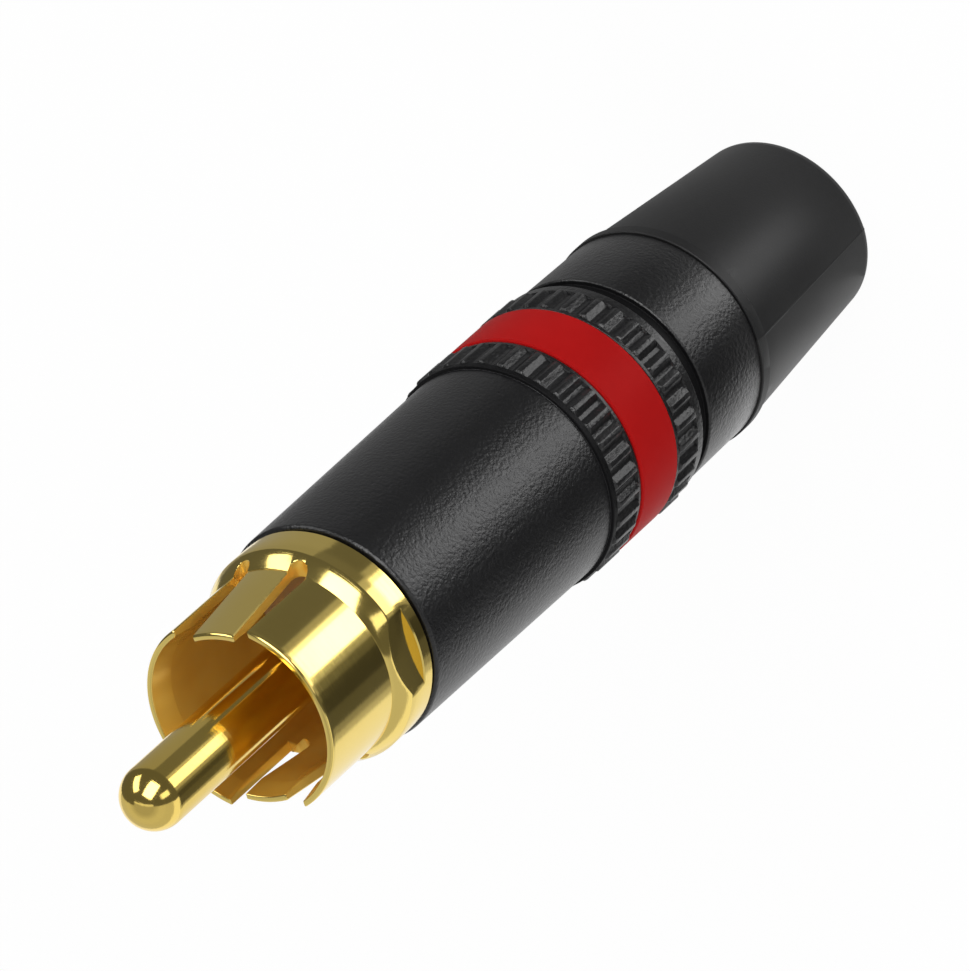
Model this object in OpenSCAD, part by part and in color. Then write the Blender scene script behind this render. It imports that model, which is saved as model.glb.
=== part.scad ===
// Cable-mounted phono plug: a gold-plated pin and slotted sleeve, a knurled
// screw-on shell with a coloured coding ring, a clamping chuck and a cable boot.
// The plug stands on the boot's rear face; +Z runs along the axis to the pin tip.

/* [Centre pin] */
// Diameter of the centre pin
pin_d = 3.2; // [2.8:0.05:3.6]
// Reach of the pin tip beyond the sleeve's rim
pin_reach = 8.5; // [6:0.1:10]
// Diameter of the pin's stem inside the insulator
stem_d = 2.5; // [2:0.1:2.8]
// Length of the solder cup behind the insulator
cup_len = 4.5; // [3:0.1:6]
// Wall of the solder cup
cup_wall = 0.4; // [0.25:0.05:0.6]

/* [Sleeve] */
// Inside diameter of the sleeve, over the mating jack
socket_d = 9; // [8.6:0.05:9.4]
// Wall of the sleeve
sleeve_wall = 0.5; // [0.4:0.02:0.7]
// Wall left at the rim by the lead-in
rim_wall = 0.3; // [0.2:0.01:0.38]
// Depth of the lead-in inside the rim
lead_in = 1.3; // [0.6:0.1:2]
// Length of the sleeve in front of the cone
sleeve_len = 5; // [4:0.1:7]
// Depth from the rim to the insulator
socket_depth = 8.9; // [8.4:0.1:10]
// Width of each bent contact finger
finger_w = 2.3; // [1.8:0.05:3]
// Width of the slots beside the fingers
slot_w = 0.93; // [0.6:0.01:1.1]
// Run of the slots into the cone
slot_run = 0.6; // [0.2:0.05:0.8]
// Inward bend of the contact fingers, degrees
finger_bend = 7; // [0:0.5:9]

/* [Collar] */
// Length of the cone between sleeve and collar
cone_len = 0.9; // [0.6:0.05:1.5]
// Length of the collar
collar_len = 1.75; // [1.2:0.05:3]
// Step of the collar below the shell's front edge
collar_inset = 0.12; // [0:0.01:0.2]
// Depth of the two wrench flats
flat_depth = 0.36; // [0.1:0.01:0.45]
// Rim of the collar left behind the flats
flat_rim = 0.72; // [0.4:0.02:1]

/* [Screw joint] */
// Wall of the contact's shank under the thread
shank_wall = 0.4; // [0.3:0.02:0.7]
// Depth of the thread
thread_depth = 0.2; // [0.14:0.02:0.4]
// Length of the thread
thread_len = 6; // [4:0.1:8]
// Length of the plain pilot behind the collar
pilot_len = 1.45; // [1:0.05:2.5]

/* [Shell] */
// Wall of the shell over the thread
shell_wall = 0.52; // [0.46:0.02:1]
// Length of the smooth barrel in front of the knurls
barrel_len = 15; // [12:0.1:20]
// Growth of the barrel's radius towards the knurls
barrel_rise = 0.17; // [0:0.01:0.4]
// Rounding of the barrel's front edge
front_round = 0.2; // [0.1:0.05:0.4]
// Number of ribs in each knurl
rib_count = 36; // [24:1:48]
// Height of the ribs above the barrel
rib_rise = 0.29; // [0.15:0.01:0.5]
// Depth of the grooves between the ribs
rib_depth = 0.23; // [0.1:0.01:0.28]
// Length of the front knurl
front_knurl_len = 2.25; // [1.5:0.05:4]
// Smooth land in front of the front knurl
front_land_w = 0.3; // [0.1:0.05:0.6]
// Length of the rear knurl
rear_knurl_len = 1.7; // [1:0.05:4]
// Smooth land behind the rear knurl
rear_land_w = 0.5; // [0.2:0.05:1]
// Width of the neck behind the knurls
neck_w = 0.85; // [0.3:0.05:1.2]
// Depth of the neck below the barrel
neck_depth = 0.24; // [0.1:0.02:0.35]
// Length of the smooth tail
tail_len = 4.9; // [4.2:0.05:8]
// Step of the tail above the barrel
tail_rise = 0.04; // [0:0.01:0.1]
// Loss of radius along the tail
tail_taper = 0.07; // [0:0.01:0.3]

/* [Coding ring] */
// Width of the coding ring
ring_w = 3.2; // [2:0.05:4]
// Thickness of the coding ring
ring_thick = 0.76; // [0.5:0.02:0.9]
// Step of the ring below the tops of the ribs
ring_inset = 0.04; // [0:0.01:0.2]
// Rounding of the ring's outer edges
ring_round = 0.14; // [0.1:0.02:0.45]
// Smooth lands between the ring and the knurls
land_w = 0.2; // [0.1:0.05:0.6]

/* [Boot] */
// Length of the boot behind the shell
boot_len = 11.85; // [8:0.05:18]
// Step of the boot's rim above the shell's tail
boot_proud = 0.1; // [0:0.01:0.2]
// Length of the boot's round rim band
band_len = 0.7; // [0.4:0.05:1.5]
// Loss of radius from the rim to the boot's end
boot_taper = 0.94; // [0.2:0.01:1.2]
// Offset of the boot's two half cones from the parting plane
parting_offset = 0.15; // [0.05:0.05:0.4]
// Rounding of the boot's end
boot_round = 0.3; // [0.2:0.05:0.9]
// Length of the spigot that snaps into the shell
spigot_len = 2.2; // [1.6:0.1:2.8]
// Height of the snap bead on the spigot
bead_h = 0.16; // [0.08:0.01:0.22]

/* [Cable grip] */
// Diameter of the cable entry
cable_d = 6.2; // [4:0.1:6.6]
// Wall of the chuck's front tube
chuck_wall = 1.15; // [0.9:0.05:1.3]
// Slope of the chuck's clamping cone, degrees
chuck_slope = 9; // [7:0.5:14]
// Number of slots in the chuck's collet
chuck_slots = 4; // [3:1:6]

/* [Insulator and solder lug] */
// Thickness of the insulator's front flange
flange_len = 1; // [0.6:0.1:2]
// Width of the shoulder inside the shank that holds the flange
shoulder_w = 0.92; // [0.6:0.02:1.2]
// Width of the insulator's staked lip over the lug
lip_w = 0.2; // [0.1:0.02:0.22]
// Sheet thickness of the solder lug
lug_t = 0.4; // [0.3:0.05:0.6]
// Width of the solder lug's tab
lug_w = 2.4; // [1.6:0.1:2.8]
// Length of the solder lug's tab
lug_len = 7; // [5:0.1:9]

/* [Fits] */
// Radial clearance of the screw joint
run_clear = 0.05; // [0.02:0.01:0.1]
// Clearance of pressed and snapped pieces
press_clear = 0.02; // [0.01:0.01:0.05]
// Gap between the collar and the shell's front face
collar_gap = 0.15; // [0.05:0.01:0.3]
// Gap between pieces that seat face to face
seat_gap = 0.05; // [0.02:0.01:0.1]
// Radial clearance of the chuck inside the shell
chuck_clear = 0.2; // [0.1:0.02:0.3]
// Clearance of the lug's tab over the insulator's lip and under the chuck's outside
tab_clear = 0.07; // [0.04:0.01:0.12]

/* [Hidden] */
$fn = 96;
eps = 0.01;
arc_steps = 6;
gold = [0.83, 0.69, 0.33];
black = [0.11, 0.11, 0.115];
red = [0.66, 0.09, 0.08];

// Radii, from the socket outwards
pin_r = pin_d / 2;
stem_r = stem_d / 2;
socket_r = socket_d / 2;
sleeve_r = socket_r + sleeve_wall;
thread_root_r = socket_r + shank_wall;
shank_r = thread_root_r + thread_depth;
bore_r = shank_r + run_clear;
barrel_front_r = bore_r + shell_wall;
barrel_rear_r = barrel_front_r + barrel_rise;
collar_r = barrel_front_r - collar_inset;
rib_r = barrel_rear_r + rib_rise;
rib_root_r = rib_r - rib_depth;
rib_chamfer = 0.12;
land_r = rib_r - rib_chamfer;
neck_r = barrel_rear_r - neck_depth;
tail_r = barrel_rear_r + tail_rise;
tail_end_r = tail_r - tail_taper;
ring_r = rib_r - ring_inset;
ring_in_r = ring_r - ring_thick;
seat_r = ring_in_r - press_clear;
boot_rim_r = tail_end_r + boot_proud;
boot_end_r = boot_rim_r - boot_taper;
cable_r = cable_d / 2;

// Heights, from the boot's rear face to the pin tip
tail_z0 = boot_len + seat_gap;
tail_z1 = tail_z0 + tail_len;
neck_z1 = tail_z1 + neck_w;
rear_rib_z0 = neck_z1 + rear_land_w;
rear_rib_z1 = rear_rib_z0 + rear_knurl_len;
seat_z0 = rear_rib_z1 + land_w;
ring_z0 = seat_z0 + seat_gap;
ring_z1 = ring_z0 + ring_w;
seat_z1 = ring_z1 + seat_gap;
front_rib_z0 = seat_z1 + land_w;
front_rib_z1 = front_rib_z0 + front_knurl_len;
front_land_z0 = front_rib_z1 - front_land_w;
shell_z1 = front_rib_z1 + barrel_len;
collar_z0 = shell_z1 + collar_gap;
collar_z1 = collar_z0 + collar_len;
cone_z1 = collar_z1 + cone_len;
rim_z = cone_z1 + sleeve_len;
tip_z = rim_z + pin_reach;
insulator_z1 = rim_z - socket_depth;
flange_z0 = insulator_z1 - flange_len;
pilot_z0 = collar_z0 - pilot_len;
shank_z0 = min(pilot_z0 - thread_len, flange_z0 - flange_len);
lug_z0 = shank_z0 - lug_t;
lip_len = 0.5;
lip_z0 = lug_z0 - lip_len;
cup_z0 = lip_z0 - cup_len;

// Sleeve slots and fingers
finger_half = finger_w / 2;
slot_mid = finger_half + slot_w / 2;
slot_out = finger_half + slot_w;
slot_z0 = cone_z1 - slot_run;
bend_z = cone_z1 - slot_run / 2;
rim_chamfer = 0.14;

// Insulator and lug
insulator_r = socket_r - shoulder_w;
lip_r = insulator_r + lip_w;
lug_ring_r = thread_root_r - 0.18;
lug_z_end = lug_z0 - lug_len;
lug_hole_r = lug_w / 4;
tab_y0 = lip_r + tab_clear;
tab_y1 = tab_y0 + lug_t;

// Chuck and the shell's inside
chuck_r = max(cable_r + chuck_wall, tab_y1) + 0.1;
chamber_r = chuck_r + chuck_clear;
chuck_bore_r = cable_r + 0.1;
throat_r = chuck_bore_r + 0.45;
spigot_z1 = tail_z0 + spigot_len;
web = 0.5;
throat_z = spigot_z1 + web;
grip_z1 = throat_z + (chamber_r - throat_r) / tan(chuck_slope);
chuck_z0 = throat_z + 0.3;
chuck_z1 = lip_z0 - seat_gap;
chuck_tip_r = throat_r + (chuck_z0 - throat_z) * tan(chuck_slope) - chuck_clear;
collet_z1 = grip_z1 + 2;
chuck_slot_w = 0.8;
chamber_z1 = front_rib_z1 + 0.8;

// Boot
spigot_r = chamber_r + 0.15;
spigot_bore_r = spigot_r + press_clear;
spigot_in_r = cable_r + 0.3;
bead_z = tail_z0 + spigot_len * 0.55;
bead_half = 0.35;
entry_round = 0.4;
flare_z = boot_len - 0.8;

// Points of an arc in the profile plane, from angle a0 to a1
function arc(centre, r, a0, a1) =
    [for (i = [0 : arc_steps]) let (a = a0 + (a1 - a0) * i / arc_steps)
        [centre[0] + r * cos(a), centre[1] + r * sin(a)]];

// Solid of revolution from a list of (radius, height) points
module turned(points) {
    rotate_extrude() polygon(points);
}

// Bore of radius r from z0 to z1, open past both ends
module drilled(r, z0, z1) {
    translate([0, 0, z0]) cylinder(r = r, h = z1 - z0);
}

// Annular bead or groove with sloping sides, from radius r0 out to r1
module bead(r0, r1, z, half) {
    turned([[r0 - 4 * eps, z - half], [r0, z - half], [r1, z - half / 3], [r1, z + half / 3],
            [r0, z + half], [r0 - 4 * eps, z + half]]);
}

module centre_pin() {
    color(gold) difference() {
        turned(concat(
            [[0, cup_z0], [stem_r, cup_z0], [stem_r, insulator_z1 + seat_gap], [pin_r, insulator_z1 + seat_gap]],
            arc([0, tip_z - pin_r], pin_r, 0, 90)));
        // Solder cup, opened along one side
        drilled(stem_r - cup_wall, cup_z0 - eps, cup_z0 + cup_len * 0.75);
        translate([-stem_r - eps, stem_r * 0.25, cup_z0 - eps])
            cube([stem_d + 2 * eps, stem_d, cup_len * 0.6]);
    }
}

// Sleeve wall with its lead-in, from z0 up to the rim
module sleeve_tube(z0) {
    lead_r = sleeve_r - rim_wall;
    turned([[socket_r, z0], [sleeve_r, z0], [sleeve_r, rim_z - rim_chamfer], [sleeve_r - rim_chamfer, rim_z],
            [lead_r, rim_z], [socket_r, rim_z - lead_in]]);
}

// Contact finger at +Y, bent inwards about a line between the slots' ends
module bent_finger() {
    root_z = slot_z0 - 0.1;
    translate([0, sleeve_r, bend_z]) rotate([finger_bend, 0, 0]) translate([0, -sleeve_r, -bend_z])
        intersection() {
            sleeve_tube(root_z);
            translate([-finger_half, 0, root_z]) cube([finger_w, sleeve_r + 1, rim_z - root_z + 1]);
        }
}

// Saw cuts beside the fingers, with round ends in the cone
module finger_slots() {
    reach = 2 * (collar_r + 1);
    for (side = [-1, 1])
        translate([side * slot_mid, 0, slot_z0 + slot_w / 2]) {
            rotate([90, 0, 0]) cylinder(d = slot_w, h = reach, center = true);
            translate([-slot_w / 2, -reach / 2, 0]) cube([slot_w, reach, sleeve_len + 1]);
        }
    translate([-slot_mid, -reach / 2, cone_z1]) cube([2 * slot_mid, reach, sleeve_len + 1]);
}

module outer_contact() {
    flat_x = collar_r - flat_depth;
    color(gold) union() {
        difference() {
            union() {
                sleeve_tube(cone_z1 - eps);
                turned([[socket_r, shank_z0 + 1], [thread_root_r, shank_z0 + 1], [thread_root_r, pilot_z0],
                        [shank_r, pilot_z0], [shank_r, collar_z0], [collar_r - 0.1, collar_z0],
                        [collar_r, collar_z0 + 0.1], [collar_r, collar_z1], [sleeve_r, cone_z1], [socket_r, cone_z1]]);
                // Tail of the shank, with the insulator's shoulder inside
                turned([[insulator_r + press_clear, shank_z0], [thread_root_r - 0.2, shank_z0],
                        [thread_root_r, shank_z0 + 0.2], [thread_root_r, flange_z0 - seat_gap],
                        [insulator_r + press_clear, flange_z0 - seat_gap]]);
            }
            finger_slots();
            for (side = [0, 180]) rotate([0, 0, side])
                translate([flat_x, -collar_r, collar_z0 + flat_rim])
                    cube([collar_r, 2 * collar_r, collar_len + cone_len + sleeve_len]);
        }
        for (side = [0, 180]) rotate([0, 0, side]) bent_finger();
    }
}

module insulator() {
    color("ivory") difference() {
        turned([[0, lip_z0], [lip_r - 0.1, lip_z0], [lip_r, lip_z0 + 0.1], [lip_r, lug_z0 - seat_gap],
                [insulator_r, lug_z0 - seat_gap], [insulator_r, flange_z0], [socket_r - press_clear, flange_z0],
                [socket_r - press_clear, insulator_z1], [0, insulator_z1]]);
        drilled(stem_r + press_clear, lip_z0 - eps, insulator_z1 + eps);
    }
}

module ground_lug() {
    color(gold) difference() {
        union() {
            turned([[insulator_r + press_clear, lug_z0], [lug_ring_r, lug_z0],
                    [lug_ring_r, shank_z0 - seat_gap], [insulator_r + press_clear, shank_z0 - seat_gap]]);
            // Tab bent back along the cable, with a round end
            translate([-lug_w / 2, tab_y0, lug_z_end + lug_w / 2])
                cube([lug_w, lug_t, lug_len + lug_t / 2 - lug_w / 2]);
            translate([0, tab_y1, lug_z_end + lug_w / 2]) rotate([90, 0, 0]) cylinder(d = lug_w, h = lug_t);
        }
        translate([0, tab_y1 + eps, lug_z_end + lug_w / 2])
            rotate([90, 0, 0]) cylinder(r = lug_hole_r, h = lug_t + 2 * eps);
    }
}

module chuck() {
    tube_in_r = chuck_r - chuck_wall + 0.25;
    grip_pitch = 1;
    grip_count = floor((grip_z1 - chuck_z0 - 1) / grip_pitch);
    key_half = lug_w / 2 + 0.3;
    color(black) difference() {
        turned([[chuck_bore_r, chuck_z0], [chuck_tip_r, chuck_z0], [chuck_r, grip_z1],
                [chuck_r, chuck_z1], [tube_in_r, chuck_z1], [tube_in_r, collet_z1 + 1], [chuck_bore_r, collet_z1]]);
        // Gripping grooves round the bore
        for (i = [1 : grip_count]) let (z = chuck_z0 + 0.8 + i * grip_pitch)
            turned([[chuck_bore_r - 0.1, z - 0.1], [chuck_bore_r, z], [chuck_bore_r + 0.22, z],
                    [chuck_bore_r, z - 0.6], [chuck_bore_r - 0.1, z - 0.7]]);
        // Slots that let the collet close on the cable
        for (i = [0 : chuck_slots - 1]) rotate([0, 0, 45 + i * 360 / chuck_slots])
            translate([0, -chuck_slot_w / 2, chuck_z0 - eps])
                cube([chuck_r + 1, chuck_slot_w, collet_z1 - chuck_z0]);
        // Keyway for the solder lug
        translate([-key_half, 0, lug_z_end - 0.5]) cube([2 * key_half, chuck_r + 1, chuck_z1 - lug_z_end + 1]);
    }
}

// Sloping-sided grooves between the ribs, running out just past z0 and z1
module knurl_grooves(z0, z1) {
    pitch = 360 / rib_count;
    root_half = rib_root_r * tan(0.11 * pitch);
    top_half = rib_r * tan(0.38 * pitch);
    over = 0.2;
    run_out = 0.05;
    lip_half = top_half + (top_half - root_half) * over / rib_depth;
    for (i = [0 : rib_count - 1]) rotate([0, 0, i * pitch])
        translate([0, 0, z0 - run_out]) linear_extrude(z1 - z0 + 2 * run_out)
            polygon([[rib_root_r, -root_half], [rib_r + over, -lip_half],
                     [rib_r + over, lip_half], [rib_root_r, root_half]]);
}

module shell() {
    bead_gap = bead_half + seat_gap;
    color(black) difference() {
        turned(concat(
            // Outside: tail, neck, rear knurl, seat of the coding ring, front knurl and barrel
            [[tail_end_r - 0.1, tail_z0], [tail_end_r, tail_z0 + 0.1], [tail_r, tail_z1 - 0.1],
             [tail_r - 0.1, tail_z1], [neck_r, tail_z1], [neck_r, neck_z1], [land_r, neck_z1],
             [land_r, rear_rib_z0], [rib_r, rear_rib_z0 + rib_chamfer], [rib_r, rear_rib_z1 - rib_chamfer],
             [land_r, rear_rib_z1], [land_r, seat_z0], [seat_r, seat_z0], [seat_r, seat_z1], [land_r, seat_z1],
             [land_r, front_rib_z0], [rib_r, front_rib_z0 + rib_chamfer],
             [rib_r, front_land_z0 - rib_chamfer], [land_r, front_land_z0], [land_r, front_rib_z1],
             [barrel_rear_r, front_rib_z1]],
            arc([barrel_front_r - front_round, shell_z1 - front_round], front_round, 0, 90),
            // Inside: thread bore, chamber, the cone that closes the chuck, throat and boot socket
            [[bore_r, shell_z1], [bore_r, chamber_z1], [chamber_r, chamber_z1], [chamber_r, grip_z1],
             [throat_r, throat_z], [throat_r, spigot_z1 + seat_gap], [spigot_bore_r, spigot_z1 + seat_gap],
             [spigot_bore_r, bead_z + bead_gap], [spigot_bore_r + bead_h, bead_z + bead_gap / 3],
             [spigot_bore_r + bead_h, bead_z - bead_gap / 3], [spigot_bore_r, bead_z - bead_gap],
             [spigot_bore_r, tail_z0]]));
        knurl_grooves(rear_rib_z0, rear_rib_z1);
        knurl_grooves(front_rib_z0, front_land_z0);
    }
}

module coding_ring() {
    color(red) turned(concat([[ring_in_r, ring_z0]],
        arc([ring_r - ring_round, ring_z0 + ring_round], ring_round, -90, 0),
        arc([ring_r - ring_round, ring_z1 - ring_round], ring_round, 0, 90),
        [[ring_in_r, ring_z1]]));
}

// One half cone of the boot, with its rounded end
module boot_cone() {
    turned(concat([[0, 0]],
        arc([boot_end_r - boot_round, boot_round], boot_round, -90, 0),
        [[boot_rim_r, boot_len], [0, boot_len]]));
}

module boot() {
    color(black) difference() {
        union() {
            intersection() {
                translate([0, parting_offset, 0]) boot_cone();
                translate([0, -parting_offset, 0]) boot_cone();
            }
            // Round rim against the shell
            turned([[cable_r, boot_len - band_len], [boot_rim_r - 0.12, boot_len - band_len],
                    [boot_rim_r, boot_len - band_len + 0.12], [boot_rim_r, boot_len - 0.08],
                    [boot_rim_r - 0.08, boot_len], [cable_r, boot_len]]);
            translate([0, 0, boot_len - eps]) cylinder(r = spigot_r, h = spigot_z1 - boot_len);
            bead(spigot_r, spigot_r + bead_h, bead_z, bead_half);
        }
        drilled(cable_r, -eps, flare_z + eps);
        drilled(spigot_in_r, flare_z, spigot_z1 + eps);
        // Rounded mouth of the cable entry
        turned(concat([[0, -eps], [cable_r + entry_round, -eps]],
            arc([cable_r + entry_round, entry_round], entry_round, 270, 180), [[0, entry_round]]));
    }
}

centre_pin();
outer_contact();
insulator();
ground_lug();
chuck();
shell();
coding_ring();
boot();
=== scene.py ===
import math

import bmesh
import bpy
from mathutils import Matrix, Vector


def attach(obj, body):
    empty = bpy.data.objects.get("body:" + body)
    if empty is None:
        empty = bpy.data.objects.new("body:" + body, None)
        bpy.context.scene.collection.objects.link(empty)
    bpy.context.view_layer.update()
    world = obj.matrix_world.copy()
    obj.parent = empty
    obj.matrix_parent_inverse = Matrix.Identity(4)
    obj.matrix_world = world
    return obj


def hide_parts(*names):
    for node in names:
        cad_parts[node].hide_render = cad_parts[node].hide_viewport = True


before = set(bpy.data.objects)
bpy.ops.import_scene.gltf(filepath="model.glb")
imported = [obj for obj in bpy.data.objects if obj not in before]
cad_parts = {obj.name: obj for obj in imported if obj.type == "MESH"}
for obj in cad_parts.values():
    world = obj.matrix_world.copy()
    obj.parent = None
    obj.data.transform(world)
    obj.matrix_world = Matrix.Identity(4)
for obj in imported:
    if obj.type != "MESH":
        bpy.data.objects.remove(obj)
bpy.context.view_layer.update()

# Sizes are in millimetres, as in the solids. Heights run from the boot's rear face to the tip.
MM = 0.001
FINE_ROUND = 0.05

# Centre pin
TIP_Z = 57.1
PIN_SEAT_Z = 39.75
CUP_FLOOR_Z = 31.5
PIN_FOOT_Z = 28.25
PIN_R = 1.6
STEM_R = 1.25
CUP_R = 0.85

# Outer contact
RIM_Z = 48.6
CONE_TOP_Z = 43.6
BEND_Z = 43.3
SLOT_FOOT_Z = 43.0
CONE_FOOT_Z = 42.7
FLAT_WALL_Z = 41.67
COLLAR_Z = 40.95
PILOT_Z = 39.5
SOCKET_FLOOR_Z = 38.65
SHANK_Z = 33.5
SOCKET_R = 4.5
LEAD_R = 4.7
LEAD_IN = 1.3
SLEEVE_R = 5.0
RIM_ROUND = 0.13
COLLAR_R = 5.55
COLLAR_CHAMFER = 0.08
FLAT_X = 5.19
SHANK_R = 5.1
SHANK_HOLE_R = 3.6
SHANK_CHAMFER = 0.2
ROOT_R = 4.9
FINGER_HALF = 1.15
FINGER_BEND = math.radians(7)
SLOT_HALF = 0.465
SLOT_X = FINGER_HALF + SLOT_HALF
SLOT_OUT = SLOT_X + SLOT_HALF
CUT_EDGE = 0.05
SLEEVE_SINK = 0.1
THREAD_PITCH = 1.0
THREAD_DEPTH = 0.17
THREAD_MARGIN = 0.3

# Shell. Each bed under a band of ribs leaves the land, runs along its floor and comes back.
SHELL_Z = 40.8
BORE_FOOT_Z = 26.6
BARREL_Z = 25.8
FRONT_RIBS = (23.55, 25.5)
FRONT_BED = (23.55, 23.65, 25.44, 25.48)
SEAT_TOP_Z = 23.35
CHAMBER_FOOT_Z = 20.28
SEAT_FOOT_Z = 20.05
REAR_RIBS = (18.15, 19.85)
REAR_BED = (18.15, 18.25, 19.8, 19.87)
NECK_TOP_Z = 17.65
TAIL_TOP_Z = 16.8
THROAT_Z = 14.6
TAIL_FLOOR_Z = 14.15
TAIL_Z = 11.9
BARREL_FRONT_R = 5.67
BARREL_REAR_R = 5.84
BARREL_ROUND = 0.2
RIB_COUNT = 36
RIB_R = 6.13
RIB_ROOT_R = 5.89
LAND_R = RIB_R - 0.12
BED_R = RIB_ROOT_R - 0.09
SEAT_R = 5.31
NECK_R = 5.6
TAIL_R = 5.88
TAIL_ROUND = 0.12
TAIL_END_R = 5.81
BORE_R = 5.15
CHAMBER_R = 4.55
THROAT_R = 3.65
TAIL_BORE_R = 4.72

# Coding ring
RING_TOP_Z = 23.3
RING_FOOT_Z = 20.1
RING_R = 6.09
RING_IN_R = 5.33
RING_ROUND = 0.14

# Boot
SPIGOT_Z = 14.1
BEAD_Z = 13.1
BEAD_HALF = 0.35
BEAD_FLAT = 0.1
BOOT_Z = 11.85
BAND_Z = 11.15
CABLE_TOP_Z = 11.05
BAND_R = 5.91
BAND_CHAMFER = 0.1
BOOT_END_R = 5.005
BOOT_TAPER = 0.94
BOOT_ROUND = 0.3
PARTING_OFFSET = 0.15
PARTING_RIDGE = 0.015
SPIGOT_R = 4.7
BEAD_R = 4.86
SPIGOT_HOLE_R = 3.4
CABLE_R = 3.1
MOUTH_ROUND = 0.4

# Studio, in metres; azimuths turn about the plug's axis from +X towards +Y.
FACING = math.radians(32.5)
LAMP_AIM_Z = 0.04
LAMP_DISTANCE = 0.42
WALL_R = 0.6
WALL_TOP = 1.04
DARK_GLOW = 0.12


class Wire:
    """A node's output, used in sums as a number."""

    def __init__(self, graph, socket):
        self.graph = graph
        self.socket = socket

    def __add__(self, other):
        return self.graph.maths("ADD", self, other)

    def __radd__(self, other):
        return self.graph.maths("ADD", other, self)

    def __mul__(self, other):
        return self.graph.maths("MULTIPLY", self, other)

    def __rmul__(self, other):
        return self.graph.maths("MULTIPLY", other, self)

    def __truediv__(self, other):
        return self.graph.maths("DIVIDE", self, other)

    def __rtruediv__(self, other):
        return self.graph.maths("DIVIDE", other, self)


class Graph:
    """A node tree that is filled one node at a time."""

    def __init__(self, tree):
        self.tree = tree

    def make(self, kind, settings=None, sockets=None):
        """Adds a node, applies its settings, then fills or links its input sockets."""
        node = self.tree.nodes.new(kind)
        for key, value in (settings or {}).items():
            setattr(node, key, value)
        for key, value in (sockets or {}).items():
            if isinstance(value, Wire):
                self.tree.links.new(value.socket, node.inputs[key])
            else:
                node.inputs[key].default_value = value
        return node

    def wire(self, kind, settings=None, sockets=None, output=0):
        """Adds a node and gives one of its outputs."""
        return Wire(self, self.make(kind, settings, sockets).outputs[output])

    def maths(self, operation, first, second):
        return self.wire("ShaderNodeMath", {"operation": operation}, {0: first, 1: second})


# Shapes

def spread(start, end, steps):
    """Evenly spaced values from start to end, both included."""
    return [start + (end - start) * i / steps for i in range(steps + 1)]


def polar(r, angle, z):
    """The point at a radius, an angle and a height about the plug's axis."""
    return r * math.cos(angle), r * math.sin(angle), z


def rounded(corners, steps=4):
    """Closed profile through (radius, height, fillet) corners, each fillet drawn as an arc."""
    points = []
    around = zip(corners[-1:] + corners[:-1], corners, corners[1:] + corners[:1])
    for before, (r, z, fillet), after in around:
        here = Vector((r, z))
        if not fillet:
            points.append((r, z))
            continue
        back = (Vector(before[:2]) - here).normalized()
        ahead = (Vector(after[:2]) - here).normalized()
        half = back.angle(ahead) / 2
        centre = here + (back + ahead).normalized() * fillet / math.sin(half)
        start = here + back * fillet / math.tan(half) - centre
        end = here + ahead * fillet / math.tan(half) - centre
        for t in spread(0, 1, steps):
            p = centre + start.lerp(end, t).normalized() * fillet
            points.append((p.x, p.y))
    return points


def inset(profile, depth):
    """The profile drawn inwards by a depth, with the same number of points."""
    before, after = profile[-1:] + profile[:-1], profile[1:] + profile[:1]
    area = sum(a[0] * b[1] - b[0] * a[1] for a, b in zip(profile, after))
    points = []
    for last, here, following in zip(before, profile, after):
        one = Vector((here[0] - last[0], here[1] - last[1])).normalized()
        two = Vector((following[0] - here[0], following[1] - here[1])).normalized()
        normal = Vector((-one.y, one.x)) + Vector((-two.y, two.x))
        normal = normal.normalized() * math.copysign(depth, area)
        points.append((here[0] + normal.x, here[1] + normal.y))
    return points


class Solid:
    """Closed surfaces gathered into one mesh object, with points in millimetres."""

    def __init__(self):
        self.bm = bmesh.new()

    def loft(self, loops, wrap, inner=(), caps=True):
        """Joins closed loops of points in turn. Wrap joins the last to the first, and otherwise
        caps close both ends. Strips of the loop listed in inner, and the caps beside them, take
        the second finish."""
        rows = [[self.bm.verts.new(Vector(p) * MM) for p in loop] for loop in loops]
        pairs = list(zip(rows, rows[1:])) + ([(rows[-1], rows[0])] if wrap else [])
        for a, b in pairs:
            for i in range(len(a)):
                j = i + 1 if i + 1 < len(a) else 0
                on_axis = all((a[k].co - b[k].co).length < 1e-9 for k in (i, j))
                if not on_axis:
                    face = self.bm.faces.new((a[i], a[j], b[j], b[i]))
                    face.material_index = int(i in inner)
        if caps and not wrap:
            for row in (rows[0], rows[-1]):
                self.bm.faces.new(row).material_index = int(bool(inner))

    def turn(self, profile, segments=192, inner=()):
        """Turns a profile of (radius, height) points about the plug's axis."""
        angles = spread(0, 2 * math.pi, segments)[:-1]
        self.loft([[polar(r, a, z) for r, z in profile] for a in angles], True, inner)

    def finish(self, name, *materials):
        """Merges doubled points, turns the faces outwards and places the mesh."""
        bmesh.ops.remove_doubles(self.bm, verts=self.bm.verts, dist=2e-7)
        bmesh.ops.recalc_face_normals(self.bm, faces=self.bm.faces)
        mesh = bpy.data.meshes.new(name)
        self.bm.to_mesh(mesh)
        self.bm.free()
        return place(name, mesh, *materials)


def add_object(name, data):
    obj = bpy.data.objects.new(name, data)
    bpy.context.scene.collection.objects.link(obj)
    return obj


def place(name, mesh, *materials):
    """Adds a mesh as an object, shaded smooth between its sharp edges."""
    mesh.shade_smooth()
    mesh.set_sharp_from_angle(angle=math.radians(32))
    indices = [p.material_index for p in mesh.polygons]
    mesh.materials.clear()
    for material in materials:
        mesh.materials.append(material)
    mesh.polygons.foreach_set("material_index", indices)
    return add_object(name, mesh)


def settle(obj, body, slot, *nodes):
    """The piece moves with its body and stands for named solids, whose meshes are hidden. Its slot
    is not used.
    """
    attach(obj, body)
    if nodes:
        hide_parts(*nodes)


# Finishes

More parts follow.
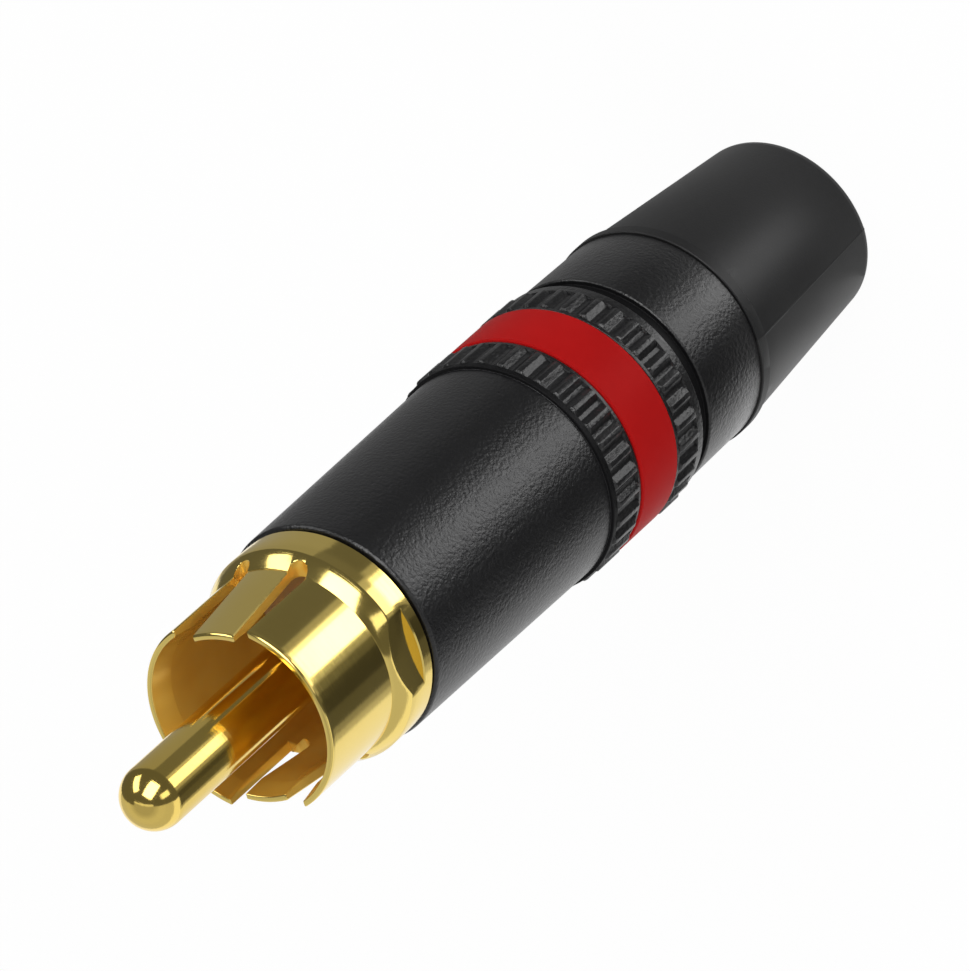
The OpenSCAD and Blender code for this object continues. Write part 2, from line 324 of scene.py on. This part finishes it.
def new_finish(name, **constants):
    """A material with its shader, whose constant inputs are set on the shader's own sockets."""
    material = bpy.data.materials.new(name)
    material.use_nodes = True
    shader = material.node_tree.nodes["Principled BSDF"]
    for key, value in constants.items():
        shader.inputs[key.replace("_", " ")].default_value = value
    return material, Graph(material.node_tree), shader


def link(graph, wire, shader, key):
    graph.tree.links.new(wire.socket, shader.inputs[key])


def object_point(graph):
    return Wire(graph, graph.make("ShaderNodeTexCoord").outputs["Object"])


def lathe_point(graph, point):
    """Coordinates that run along and out from the axis, so that noise becomes turning lines."""
    parts = graph.make("ShaderNodeSeparateXYZ", {}, {0: point})
    x, y, z = (Wire(graph, s) for s in parts.outputs)
    radius = graph.maths("POWER", x * x + y * y, 0.5)
    return graph.wire("ShaderNodeCombineXYZ", {}, {0: radius, 1: z, 2: (x + y) * 0.04})


def noise(graph, vector, scale, detail=2.0, rough=0.5):
    """Cloudy values about one half; the scale counts its clouds in a metre."""
    return graph.wire("ShaderNodeTexNoise", {}, {"Vector": vector, "Scale": scale,
                                                 "Detail": detail, "Roughness": rough})


def blend(graph, factor, dark, light):
    """A colour between two others."""
    return graph.wire("ShaderNodeMix", {"data_type": "RGBA"},
                      {0: factor, 6: (*dark, 1), 7: (*light, 1)}, 2)


def bump(graph, height, strength, distance):
    return graph.wire("ShaderNodeBump", {}, {"Height": height, "Strength": strength,
                                             "Distance": distance})


def gold_finish(name, dark, light):
    """Bright plating over fine turning lines."""
    material, graph, shader = new_finish(name, Metallic=1.0)
    point = object_point(graph)
    lines = noise(graph, lathe_point(graph, point), 9000.0, detail=3.0, rough=0.6)
    patches = noise(graph, point, 320.0, detail=3.0)
    link(graph, blend(graph, patches, dark, light), shader, "Base Color")
    link(graph, 0.06 + lines * 0.07 + patches * 0.04, shader, "Roughness")
    link(graph, bump(graph, lines, 0.16, 0.00002), shader, "Normal")
    return material


def bore_finish():
    """Duller plating inside the sleeve, painted a warmer orange that stands in for light bouncing
    between its gold walls.
    """
    material, graph, shader = new_finish("gold_bore_painted_bounce", Metallic=0.55)
    clouds = noise(graph, object_point(graph), 300.0)
    # Painted light: the orange shades stand in for light bounced between the gold walls of the
    # bore.
    colour = blend(graph, clouds, (0.62, 0.28, 0.02), (1.0, 0.72, 0.14))
    link(graph, colour, shader, "Base Color")
    link(graph, 0.16 + clouds * 0.14, shader, "Roughness")
    return material


def shell_finish():
    """Black coating with a fine orange-peel grain."""
    material, graph, shader = new_finish("shell_black", Specular_IOR_Level=0.66)
    point = object_point(graph)
    grain = noise(graph, point, 5200.0, detail=3.0, rough=0.55)
    patches = noise(graph, point, 500.0)
    colour = blend(graph, patches, (0.003, 0.003, 0.0034), (0.006, 0.006, 0.0066))
    link(graph, colour, shader, "Base Color")
    link(graph, 0.24 + grain * 0.12, shader, "Roughness")
    link(graph, bump(graph, grain, 0.4, 0.0001), shader, "Normal")
    return material


def recess_finish():
    """Duller coating where the shell's neck and front land lie in shade."""
    material, graph, shader = new_finish("shell_recess", Specular_IOR_Level=0.12)
    grain = noise(graph, object_point(graph), 5200.0)
    colour = blend(graph, grain, (0.003, 0.003, 0.0033), (0.006, 0.006, 0.0065))
    link(graph, colour, shader, "Base Color")
    link(graph, 0.45 + grain * 0.1, shader, "Roughness")
    return material


def ring_finish():
    """Plain red plastic with hardly any shine."""
    material, graph, shader = new_finish("ring_red", Specular_IOR_Level=0.02)
    patches = noise(graph, object_point(graph), 600.0)
    colour = blend(graph, patches, (0.29, 0.0045, 0.0045), (0.335, 0.006, 0.0058))
    link(graph, colour, shader, "Base Color")
    link(graph, 0.36 + patches * 0.12, shader, "Roughness")
    link(graph, bump(graph, patches, 0.08, 0.0001), shader, "Normal")
    return material


def boot_finish():
    """Satin rubber, a little duller on one side of the parting line, and painted paler there to
    stand in for the bright floor that side reflects.
    """
    material, graph, shader = new_finish("boot_black", Specular_IOR_Level=0.3)
    point = object_point(graph)
    fine = noise(graph, point, 9000.0)
    patches = noise(graph, point, 300.0)
    side = graph.wire("ShaderNodeSeparateXYZ", {}, {0: point}, "Y")
    rougher_and_painted_paler_half = graph.maths("LESS_THAN", side, 0.0)
    # Painted reflection: the half with Y below zero is painted paler for the floor's light it
    # reflects; its greater roughness is real.
    colour = blend(graph, patches * 0.3 + rougher_and_painted_paler_half * 0.7,
                   (0.0078, 0.0078, 0.0082), (0.0245, 0.0245, 0.0246))
    link(graph, colour, shader, "Base Color")
    link(graph, 0.43 + patches * 0.08 + rougher_and_painted_paler_half * 0.05, shader, "Roughness")
    link(graph, bump(graph, fine, 0.12, 0.00004), shader, "Normal")
    return material


def plastic_finish(name, dark, light, rough):
    """Moulded plastic for the pieces hidden inside."""
    material, graph, shader = new_finish(name)
    patches = noise(graph, object_point(graph), 700.0, detail=3.0)
    link(graph, blend(graph, patches, dark, light), shader, "Base Color")
    link(graph, rough + patches * 0.12, shader, "Roughness")
    return material


# Repeated forms

def grow(name, tree, inputs, material):
    """Runs a node tree once on an empty object and keeps its result as a plain mesh."""
    holder = add_object(name, bpy.data.meshes.new(name))
    modifier = holder.modifiers.new(name, "NODES")
    modifier.node_group = tree
    for item in tree.interface.items_tree:
        if item.in_out == "INPUT" and item.name in inputs:
            modifier[item.identifier] = inputs[item.name]
    ready = holder.evaluated_get(bpy.context.evaluated_depsgraph_get())
    mesh = bpy.data.meshes.new_from_object(ready)
    mesh.name = name
    bpy.data.objects.remove(holder)
    return place(name, mesh, material)


def new_tree(name, inputs):
    """An empty geometry tree with named inputs, given as wires."""
    tree = bpy.data.node_groups.new(name, "GeometryNodeTree")
    tree.interface.new_socket("Geometry", in_out="OUTPUT", socket_type="NodeSocketGeometry")
    for key, kind in inputs.items():
        tree.interface.new_socket(key, in_out="INPUT", socket_type=kind)
    graph = Graph(tree)
    source = graph.make("NodeGroupInput")
    return graph, {s.name: Wire(graph, s) for s in source.outputs if s.name}


def rib_circle():
    """Copies of one rib set evenly round the axis and joined into a ring."""
    graph, given = new_tree("rib_circle", {"Rib": "NodeSocketObject", "Count": "NodeSocketInt",
                                           "Finish": "NodeSocketMaterial"})
    rib = graph.wire("GeometryNodeObjectInfo", {}, {"Object": given["Rib"]}, "Geometry")
    points = graph.wire("GeometryNodePoints", {}, {"Count": given["Count"]})
    angle = graph.wire("GeometryNodeInputIndex") * (2 * math.pi) / given["Count"]
    turn = graph.wire("ShaderNodeCombineXYZ", {}, {2: angle})
    ribs = graph.wire("GeometryNodeInstanceOnPoints", {},
                      {"Points": points, "Instance": rib, "Rotation": turn})
    solid = graph.wire("GeometryNodeRealizeInstances", {}, {"Geometry": ribs})
    joined = graph.wire("GeometryNodeMergeByDistance", {},
                        {"Geometry": solid, "Distance": 0.002 * MM})
    done = graph.wire("GeometryNodeSetMaterial", {},
                      {"Geometry": joined, "Material": given["Finish"]})
    graph.make("NodeGroupOutput", {}, {0: done})
    return graph.tree


def thread_helix():
    """A ridge wound round the axis, with closed ends."""
    size = "NodeSocketFloat"
    graph, given = new_tree("thread_helix", {"Turns": size, "Pitch": size, "Radius": size,
                                             "Depth": size, "Start": size,
                                             "Finish": "NodeSocketMaterial"})
    path = graph.wire("GeometryNodeCurveSpiral", {},
                      {"Resolution": 64, "Rotations": given["Turns"],
                       "Start Radius": given["Radius"], "End Radius": given["Radius"],
                       "Height": given["Turns"] * given["Pitch"]})
    path = graph.wire("GeometryNodeSetCurveNormal", {"mode": "Z_UP"}, {"Curve": path})
    ridge = graph.wire("GeometryNodeCurvePrimitiveCircle", {"mode": "RADIUS"},
                       {"Resolution": 4, "Radius": given["Depth"]})
    swept = graph.wire("GeometryNodeCurveToMesh", {},
                       {"Curve": path, "Profile Curve": ridge, "Fill Caps": True})
    start = graph.wire("ShaderNodeCombineXYZ", {}, {2: given["Start"]})
    raised = graph.wire("GeometryNodeTransform", {}, {"Geometry": swept, "Translation": start})
    solid = graph.wire("GeometryNodeRealizeInstances", {}, {"Geometry": raised})
    done = graph.wire("GeometryNodeSetMaterial", {},
                      {"Geometry": solid, "Material": given["Finish"]})
    graph.make("NodeGroupOutput", {}, {0: done})
    return graph.tree


# Pieces

def build_pin(gold):
    """The centre pin: domed tip, thinner stem and solder cup."""
    dome = [(PIN_R * math.cos(a), TIP_Z - PIN_R + PIN_R * math.sin(a))
            for a in spread(0, math.pi / 2, 16)]
    dome[-1] = (0, TIP_Z)
    solid = Solid()
    solid.turn([(0, CUP_FLOOR_Z), (CUP_R, CUP_FLOOR_Z), (CUP_R, PIN_FOOT_Z), (STEM_R, PIN_FOOT_Z),
                (STEM_R, PIN_SEAT_Z), (PIN_R, PIN_SEAT_Z)] + dome, 128)
    settle(solid.finish("pin_look", gold), "insert", "gold_plate", "centre_pin")


def sleeve_profile(foot):
    """Section of the sleeve's wall; a point below the rim keeps its side's shading straight."""
    return rounded([(SOCKET_R, foot, 0), (SLEEVE_R, foot, 0), (SLEEVE_R, RIM_Z - 0.3, 0),
                    (SLEEVE_R, RIM_Z, RIM_ROUND), (LEAD_R, RIM_Z, FINE_ROUND),
                    (SOCKET_R, RIM_Z - LEAD_IN, FINE_ROUND)])


def bore_strips(profile):
    """Strips of a profile that face the socket or close the foot of a saw cut."""
    strips = set()
    for i, (a, b) in enumerate(zip(profile, profile[1:] + profile[:1])):
        inside = max(a[0], b[0]) < LEAD_R + 0.01 and min(a[1], b[1]) > SOCKET_FLOOR_Z - 0.05
        level = a[1] == b[1]
        if inside and not level or level and a[1] == CONE_TOP_Z:
            strips.add(i)
    return strips


def add_jaw(solid, turn):
    """One wide side of the sleeve, between the saw cuts on either hand."""
    full = sleeve_profile(CONE_TOP_Z - SLEEVE_SINK)
    small = inset(full, CUT_EDGE)
    loops = [[(r, -math.acos(SLOT_OUT / r), z) for r, z in small]]
    for t in spread(-1, 1, 72):
        loops.append([(r, t * math.acos((SLOT_OUT + CUT_EDGE) / r), z) for r, z in full])
    loops.append([(r, math.acos(SLOT_OUT / r), z) for r, z in small])
    solid.loft([[polar(r, a + turn, z) for r, a, z in loop] for loop in loops],
               False, bore_strips(full))


def add_finger(solid, side):
    """A narrow finger between two saw cuts, bent inwards where it leaves the cone."""
    full = sleeve_profile(SLOT_FOOT_Z - SLEEVE_SINK)
    small = inset(full, CUT_EDGE)
    columns = [(x, full) for x in spread(CUT_EDGE - FINGER_HALF, FINGER_HALF - CUT_EDGE, 16)]
    columns = [(-FINGER_HALF, small)] + columns + [(FINGER_HALF, small)]
    loops = []
    for x, profile in columns:
        loop = []
        for r, z in profile:
            y, up = math.sqrt(r * r - x * x) - SLEEVE_R, z - BEND_Z
            bent_y = SLEEVE_R + y * math.cos(FINGER_BEND) - up * math.sin(FINGER_BEND)
            bent_z = BEND_Z + y * math.sin(FINGER_BEND) + up * math.cos(FINGER_BEND)
            loop.append((side * x, side * bent_y, bent_z))
        loops.append(loop)
    solid.loft(loops, False, bore_strips(full))


def base_columns():
    """Half a turn of the contact's base. Each column gives its angle at a radius and the height of
    its top; those beside a saw cut lean to run along it, and those in it follow its round foot."""
    limit = math.acos(SLOT_OUT / SLEEVE_R)
    flat = math.acos(FLAT_X / COLLAR_R)
    angles = spread(-limit, -flat, 14) + spread(-flat, flat, 20)[1:] + spread(flat, limit, 14)[1:]
    for a in angles:
        pull = max(0.0, abs(a) / limit - 0.5) ** 2 * 4

        def lean(r, a=a, pull=pull):
            return a + math.copysign(pull * (math.acos(SLOT_OUT / r) - limit), a)

        yield lean, CONE_TOP_Z
    arc = SLOT_HALF - 0.004
    right = [(SLOT_X + arc * math.sin(t), SLOT_FOOT_Z + SLOT_HALF - SLOT_HALF * math.cos(t))
             for t in spread(math.pi / 2, -math.pi / 2, 14)]
    right.append((FINGER_HALF, CONE_TOP_Z))
    left = [(-x, z) for x, z in reversed(right)]
    between = [(x, CONE_TOP_Z) for x in spread(FINGER_HALF, -FINGER_HALF, 6)[1:-1]]
    for x, z in right + between + left:
        yield (lambda r, x=x: math.acos(x / r)), z


def base_profile(angle, top):
    """Outline of the base at one angle: shank, pilot, collar with wrench flat, cone and socket."""
    facing = math.cos(angle(COLLAR_R))
    face_r = min(COLLAR_R, FLAT_X / facing) if facing > 0.1 else COLLAR_R
    step = COLLAR_R - face_r
    lip = min(0.06, step)
    slope = (COLLAR_R - SLEEVE_R) / (CONE_TOP_Z - CONE_FOOT_Z)
    corner = CONE_FOOT_Z + step / slope
    cone_edge, bore_edge = 0.03, 0.04

    def cone(z):
        return COLLAR_R - (z - CONE_FOOT_Z) * slope

    return [(SHANK_HOLE_R, SHANK_Z), (ROOT_R - SHANK_CHAMFER, SHANK_Z),
            (ROOT_R, SHANK_Z + SHANK_CHAMFER), (ROOT_R, PILOT_Z), (SHANK_R, PILOT_Z),
            (SHANK_R, COLLAR_Z), (COLLAR_R - COLLAR_CHAMFER, COLLAR_Z),
            (COLLAR_R, COLLAR_Z + COLLAR_CHAMFER), (COLLAR_R, FLAT_WALL_Z - lip),
            (COLLAR_R - lip, FLAT_WALL_Z), (face_r, FLAT_WALL_Z), (face_r, corner - 0.06),
            (cone(corner + 0.05), corner + 0.05), (cone(top - cone_edge), top - cone_edge),
            (cone(top) - cone_edge, top), (SOCKET_R + bore_edge, top), (SOCKET_R, top - bore_edge),
            (SOCKET_R, SOCKET_FLOOR_Z), (SHANK_HOLE_R, SOCKET_FLOOR_Z)]


def build_contact(gold, bore):
    """The outer contact: its base with the saw cuts, two jaws, two fingers and the thread."""
    solid = Solid()
    columns = list(base_columns())
    half_turns = (0, math.pi)
    loops = []
    for turn in half_turns:
        for angle, top in columns:
            loops.append([polar(r, angle(r) + turn, z) for r, z in base_profile(angle, top)])
    solid.loft(loops, True, bore_strips(base_profile(*columns[0])))
    for turn in half_turns:
        add_jaw(solid, turn)
    for side in (1, -1):
        add_finger(solid, side)
    settle(solid.finish("contact_look", gold, bore), "insert", "gold_plate", "outer_contact")
    length = PILOT_Z - SHANK_Z - 2 * THREAD_MARGIN
    thread = grow("contact_thread", thread_helix(),
                  {"Turns": length / THREAD_PITCH, "Pitch": THREAD_PITCH * MM,
                   "Radius": ROOT_R * MM, "Depth": THREAD_DEPTH * MM,
                   "Start": (SHANK_Z + THREAD_MARGIN) * MM, "Finish": gold}, gold)
    settle(thread, "insert", "gold_plate")


def recess_strips(profile):
    """Strips of the shell's profile in its neck and on the land in front of the ribs."""
    recesses = ((TAIL_TOP_Z, NECK_TOP_Z), (FRONT_BED[-1], BARREL_Z))
    strips = set()
    for i, (a, b) in enumerate(zip(profile, profile[1:])):
        low, high = sorted((a[1], b[1]))
        if any(foot - 0.01 < low and high < top + 0.01 for foot, top in recesses):
            strips.add(i)
    return strips


def rib_bed(heights):
    """Corners of the shell's sunk bed under a band of ribs."""
    return [(r, z, 0) for r, z in zip((LAND_R, BED_R, BED_R, LAND_R), heights)]


def build_shell(black, recess):
    """The one-piece shell, with its two bands of ribs on top."""
    outside = [(TAIL_END_R, TAIL_Z, FINE_ROUND), (TAIL_R, TAIL_TOP_Z, TAIL_ROUND),
               (NECK_R, TAIL_TOP_Z, FINE_ROUND), (NECK_R, NECK_TOP_Z, FINE_ROUND),
               (LAND_R, NECK_TOP_Z, 0.06), *rib_bed(REAR_BED),
               (LAND_R, SEAT_FOOT_Z, FINE_ROUND), (SEAT_R, SEAT_FOOT_Z, FINE_ROUND),
               (SEAT_R, SEAT_TOP_Z, FINE_ROUND), (LAND_R, SEAT_TOP_Z, FINE_ROUND),
               *rib_bed(FRONT_BED), (LAND_R, BARREL_Z, FINE_ROUND),
               (BARREL_REAR_R, BARREL_Z, 0.03), (BARREL_FRONT_R, SHELL_Z, BARREL_ROUND)]
    inside = [(BORE_R, SHELL_Z, 0.04), (BORE_R, BORE_FOOT_Z, 0), (CHAMBER_R, BORE_FOOT_Z, 0),
              (CHAMBER_R, CHAMBER_FOOT_Z, 0), (THROAT_R, THROAT_Z, 0), (THROAT_R, TAIL_FLOOR_Z, 0),
              (TAIL_BORE_R, TAIL_FLOOR_Z, 0), (TAIL_BORE_R, TAIL_Z, 0.06)]
    profile = rounded(outside + inside)
    solid = Solid()
    solid.turn(profile, inner=recess_strips(profile))
    settle(solid.finish("shell_look", black, recess), "housing", "shell_black", "shell")
    build_knurl("front_ribs", black, *FRONT_RIBS)
    build_knurl("rear_ribs", black, *REAR_RIBS)


def build_knurl(name, black, start, end):
    """A band of ribs between two heights, one rib repeated round the axis. Rise gives the radii of
    crest and trough at steps from either end, where both drop to the lands. Depths gives the share
    of the full depth at shares of a pitch from the trough, for ribs with sloping sides."""
    top, root, land, base = RIB_R, RIB_ROOT_R, RIB_R - 0.14, RIB_ROOT_R - 0.19
    rise = [(-0.06, base, base), (-0.06, land, land), (0, land, land),
            (0.02, land + 0.04, root + 0.05), (0.05, top - 0.05, root), (0.09, top - 0.015, root),
            (0.13, top, root)]
    depths = [(0, 1), (0.08, 1), (0.11, 0.97), (0.14, 0.89), (0.35, 0.11), (0.38, 0.03), (0.41, 0),
              (0.5, 0)]
    stations = [(start + step, crest, trough) for step, crest, trough in rise]
    stations.append(((start + end) / 2, top, root))
    stations += [(end - step, crest, trough) for step, crest, trough in reversed(rise)]
    loops = []
    for share, depth in [(-share, depth) for share, depth in reversed(depths[1:])] + depths:
        a = 2 * math.pi * share / RIB_COUNT
        loops.append([polar(crest + (trough - crest) * depth, a, z)
                      for z, crest, trough in stations])
    rib = Solid()
    rib.loft(loops, False, caps=False)
    template = rib.finish(name + "_one", black)
    ribs = grow(name, rib_circle(), {"Rib": template, "Count": RIB_COUNT, "Finish": black}, black)
    bpy.data.objects.remove(template)
    settle(ribs, "housing", "shell_black")


def build_ring(red):
    """The coding ring in its seat between the two bands of ribs."""
    solid = Solid()
    solid.turn(rounded([(RING_IN_R, RING_FOOT_Z, 0.04), (RING_R, RING_FOOT_Z, RING_ROUND),
                        (RING_R, RING_TOP_Z, RING_ROUND), (RING_IN_R, RING_TOP_Z, 0.04)], 8))
    settle(solid.finish("ring_look", red), "housing", "ring_red", "coding_ring")


def build_boot(rubber):
    """Two half cones that meet in a fine line on either side, a round band and a beaded spigot."""
    quarter = math.pi / 2
    slope = BOOT_TAPER / (BOOT_Z - BOOT_ROUND)
    body = [(BOOT_END_R - BOOT_ROUND * (1 - math.sin(t)), BOOT_ROUND * (1 - math.cos(t)))
            for t in spread(0, quarter, 8)]
    body += [(BOOT_END_R + slope * (z - BOOT_ROUND), z) for z in spread(BOOT_ROUND, BAND_Z, 12)[1:]]
    band_foot = BAND_Z + 0.01
    rest = [(BAND_R, band_foot + BAND_CHAMFER), (BAND_R, BOOT_Z - 0.04), (BAND_R - 0.04, BOOT_Z),
            (SPIGOT_R, BOOT_Z), (SPIGOT_R, BEAD_Z - BEAD_HALF), (BEAD_R, BEAD_Z - BEAD_FLAT),
            (BEAD_R, BEAD_Z + BEAD_FLAT), (SPIGOT_R, BEAD_Z + BEAD_HALF), (SPIGOT_R, SPIGOT_Z),
            (SPIGOT_HOLE_R, SPIGOT_Z), (SPIGOT_HOLE_R, CABLE_TOP_Z), (CABLE_R, CABLE_TOP_Z)]
    rest += [(CABLE_R + MOUTH_ROUND * (1 - math.sin(t)), MOUTH_ROUND * (1 - math.cos(t)))
             for t in spread(quarter, 0, 6)]
    near = [0.0, 0.004, 0.008, 0.02]
    half_turn = near + spread(0.05, math.pi - 0.05, 84) + [math.pi - a for a in reversed(near[1:])]
    loops = []
    for a in half_turn + [a + math.pi for a in half_turn]:
        across, along = abs(math.sin(a)), math.cos(a)
        ridge = PARTING_RIDGE if across < 0.006 else 0
        shift = PARTING_OFFSET * across - ridge
        side = [(math.sqrt(r * r - (PARTING_OFFSET * along) ** 2) - shift, z) for r, z in body]
        side.append((max(side[-1][0], BAND_R - BAND_CHAMFER), band_foot))
        loops.append([polar(r, a, z) for r, z in side + rest])
    solid = Solid()
    solid.loft(loops, True)
    settle(solid.finish("boot_look", rubber), "housing", "boot_black", "boot")


def dress_inside(gold):
    """Pieces hidden inside the plug keep their solids and take a finish."""
    amber = plastic_finish("insulator_amber", (0.5, 0.36, 0.2), (0.62, 0.46, 0.27), 0.35)
    dark = plastic_finish("chuck_black", (0.02, 0.02, 0.022), (0.035, 0.035, 0.037), 0.45)
    for name, material in (("insulator", amber), ("chuck", dark), ("ground_lug", gold)):
        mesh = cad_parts[name].data
        mesh.materials.clear()
        mesh.materials.append(material)


# Studio

def toward(azimuth, elevation=0):
    """Unit direction at an azimuth from the camera's side of the plug, in degrees."""
    a, e = FACING + math.radians(azimuth), math.radians(elevation)
    return Vector((math.cos(e) * math.cos(a), math.cos(e) * math.sin(a), math.sin(e)))


def soft_box(name, azimuth, elevation, width, height, radiance):
    """A rectangular lamp aimed at the plug, with its brightness given as radiance."""
    lamp = bpy.data.lights.new(name, "AREA")
    lamp.shape = "RECTANGLE"
    lamp.size, lamp.size_y = width, height
    lamp.energy = radiance * math.pi * width * height
    obj = add_object(name, lamp)
    way = toward(azimuth, elevation)
    obj.location = Vector((0, 0, LAMP_AIM_Z)) + way * LAMP_DISTANCE
    obj.rotation_euler = way.to_track_quat("Z", "Y").to_euler()
    obj.visible_camera = False
    return obj


def reflector(name, near, far, glow):
    """A glowing card between two rows of points, seen only in reflections."""
    count = len(near)
    faces = [(i, i + 1, count + i + 1, count + i) for i in range(count - 1)]
    mesh = bpy.data.meshes.new(name)
    mesh.from_pydata(near + far, [], faces)
    material = new_finish(name, Roughness=1.0, Base_Color=(0, 0, 0, 1), Specular_IOR_Level=0.0,
                          Emission_Color=(1, 1, 1, 1), Emission_Strength=glow)[0]
    mesh.materials.append(material)
    obj = add_object(name, mesh)
    obj.visible_camera = False
    obj.visible_diffuse = False
    obj.visible_shadow = False


def floor_wedge(name, start, end, inner, outer, glow):
    """A card on the floor between two azimuths and two radii."""
    lift = Vector((0, 0, 0.0004))
    ways = [toward(a) for a in spread(start, end, 12)]
    near, far = ([way * r + lift for way in ways] for r in (inner, outer))
    reflector(name, near, far, glow)


def curved_wall(name, start, end, low, high, glow):
    """A band of a curved wall behind the lamps, between two azimuths and two heights."""
    foot = [toward(a) * WALL_R for a in spread(start, end, 24)]
    below, above = Vector((0, 0, low)), Vector((0, 0, high))
    reflector(name, [point + below for point in foot], [point + above for point in foot], glow)


def build_walls():
    """A dark wall and ceiling to the camera's left, and paler walls behind; the pin's dome shows
    the bright edge between them as a line."""
    curved_wall("front_wall", -50, 146, 0, WALL_TOP, DARK_GLOW)
    for low, high, glow in ((0, 0.3, 0.57), (0.3, 0.6, 0.6), (0.6, 0.75, 0.54), (0.75, 0.95, 0.48)):
        curved_wall("back_wall", 146, 310, low, high, glow)
    along, across, lift = toward(132), toward(42), Vector((0, 0, WALL_TOP))
    rim = [toward(a) * WALL_R + lift for a in spread(-48, 132, 24)]
    edge = [along * point.dot(along) + across * 0.09 + lift for point in rim]
    reflector("ceiling", rim, edge, DARK_GLOW)
    reflector("ceiling_edge", edge, [point - across * 0.11 for point in edge], 0.85)


def build_floor():
    """A pale floor that shows white to the camera and in reflections, and keeps a soft shadow."""
    mesh = bpy.data.meshes.new("floor")
    mesh.from_pydata([(-3, -3, 0), (3, -3, 0), (3, 3, 0), (-3, 3, 0)], [], [(0, 1, 2, 3)])
    material = bpy.data.materials.new("floor")
    material.use_nodes = True
    material.node_tree.nodes.clear()
    graph = Graph(material.node_tree)
    plain = graph.wire("ShaderNodeBsdfDiffuse", {}, {"Color": (0.86, 0.86, 0.86, 1)})
    white = graph.wire("ShaderNodeEmission", {}, {"Color": (1, 1, 1, 1), "Strength": 1.0})
    rays = graph.make("ShaderNodeLightPath").outputs
    camera = Wire(graph, rays["Is Camera Ray"])
    glossy = Wire(graph, rays["Is Glossy Ray"])
    passed = Wire(graph, rays["Is Transmission Ray"])
    seen = graph.maths("MINIMUM", camera + glossy + passed, 1.0)
    mixed = graph.wire("ShaderNodeMixShader", {}, {0: seen * 0.96, 1: plain, 2: white})
    graph.make("ShaderNodeOutputMaterial", {}, {0: mixed})
    mesh.materials.append(material)
    add_object("floor", mesh)


def lay_floor_cards():
    """Light and dark cards on the floor, which the plug's side reflects: its higher parts reflect
    those farther out. A card is two azimuths and a glow, and a zone is two radii and its cards."""
    heel = [(-160, -62, 1.1), (-62, 150, 0.5)]
    boot = [(-160, -80, 1.5), (-80, -45, 0.35), (-45, -26, 0.12), (-26, -14, 0.4), (-14, 12, 2.4),
            (12, 26, 0.6), (26, 150, 0.36)]
    dark_side = [(-160, -92, 0.95), (-92, -84, 0.5), (-84, -76, 0.28), (-76, -58, 0.09),
                 (-58, -36, 0.045), (-36, -26, 0.1), (-26, -18, 0.3)]
    light_side = [(16, 24, 0.4), (24, 62, 0.13), (62, 150, 0.32)]
    barrel = dark_side + [(-18, 10, 2.0), (10, 16, 0.3)] + light_side
    sleeve = dark_side + [(-17, 10, 4.0), (10, 15, 2.0)] + light_side
    pin = [(-160, -92, 0.85), (-92, -84, 0.35), (-84, -58, 0.1), (-58, -42, 0.07), (-42, -34, 0.15),
           (-34, -23, 0.4), (-23, 8, 2.0), (8, 18, 0.5), (18, 62, 0.16), (62, 150, 0.3)]
    front = [(-52, 146, DARK_GLOW)]
    zones = [(0.004, 0.0085, heel), (0.0085, 0.0145, boot), (0.0145, 0.045, barrel),
             (0.045, 0.0578, sleeve), (0.0578, 0.1, pin), (0.1, WALL_R, front)]
    for near, far, cards in zones:
        for start, end, glow in cards:
            floor_wedge("floor_card", start, end, near, far, glow)


def build_studio():
    """A pale world with a floor, four soft lamps and the cards and walls that the plug reflects."""
    world = bpy.data.worlds.new("studio")
    bpy.context.scene.world = world
    world.use_nodes = True
    back = world.node_tree.nodes["Background"]
    back.inputs["Color"].default_value = (1, 1, 1, 1)
    back.inputs["Strength"].default_value = 0.42
    build_floor()
    soft_box("key", azimuth=26, elevation=36, width=0.26, height=0.42, radiance=3.8)
    soft_box("strip", azimuth=88, elevation=22, width=0.14, height=0.36, radiance=2.6)
    soft_box("side", azimuth=-20, elevation=14, width=0.12, height=0.24, radiance=1.3)
    fill = soft_box("fill", azimuth=-98, elevation=18, width=0.4, height=0.4, radiance=1.9)
    fill.visible_glossy = False
    lay_floor_cards()
    build_walls()


def aim_camera():
    """The photograph's view: 45 degrees above the plug's side, turned about the line of sight.
    A point near the tip lies at a known place in the picture, right and down from its middle."""
    tilt, turn = math.radians(45), math.radians(-42.04)
    focal_px, picture_px = 9313, 971
    distance, tip_z = 0.4138, 0.05614
    right_px, down_px = 146.4 - 485.0, 802.9 - 485.5
    flat, upright = math.sin(tilt), math.cos(tilt)
    down_axis = Vector((flat * math.cos(turn), flat * math.sin(turn), upright))
    near = Vector((upright * math.cos(turn), upright * math.sin(turn), -flat))
    side = Vector((math.sin(turn), -math.cos(turn), 0))
    x = near * math.cos(FACING) - side * math.sin(FACING)
    y = near * math.sin(FACING) + side * math.cos(FACING)
    seen = Matrix((x, y, -down_axis)).transposed()
    tip = Vector((right_px / focal_px * distance, down_px / focal_px * distance, distance))
    data = bpy.data.cameras.new("camera")
    data.sensor_width = 36
    data.lens = focal_px / picture_px * data.sensor_width
    data.clip_start, data.clip_end = 0.01, 20
    camera = add_object("camera", data)
    position = Vector((0, 0, tip_z)) - seen.transposed() @ tip
    frame_axes = Matrix((seen[0], -seen[1], -seen[2])).transposed()
    camera.matrix_world = Matrix.Translation(position) @ frame_axes.to_4x4()
    bpy.context.scene.camera = camera


gold = gold_finish("gold_plate", (0.89, 0.67, 0.18), (0.94, 0.73, 0.23))
build_pin(gold_finish("gold_pin", (0.9, 0.65, 0.15), (0.95, 0.71, 0.2)))
build_contact(gold, bore_finish())
build_shell(shell_finish(), recess_finish())
build_ring(ring_finish())
build_boot(boot_finish())
dress_inside(gold)
build_studio()
aim_camera()
bpy.context.scene.view_settings.view_transform = "Standard"
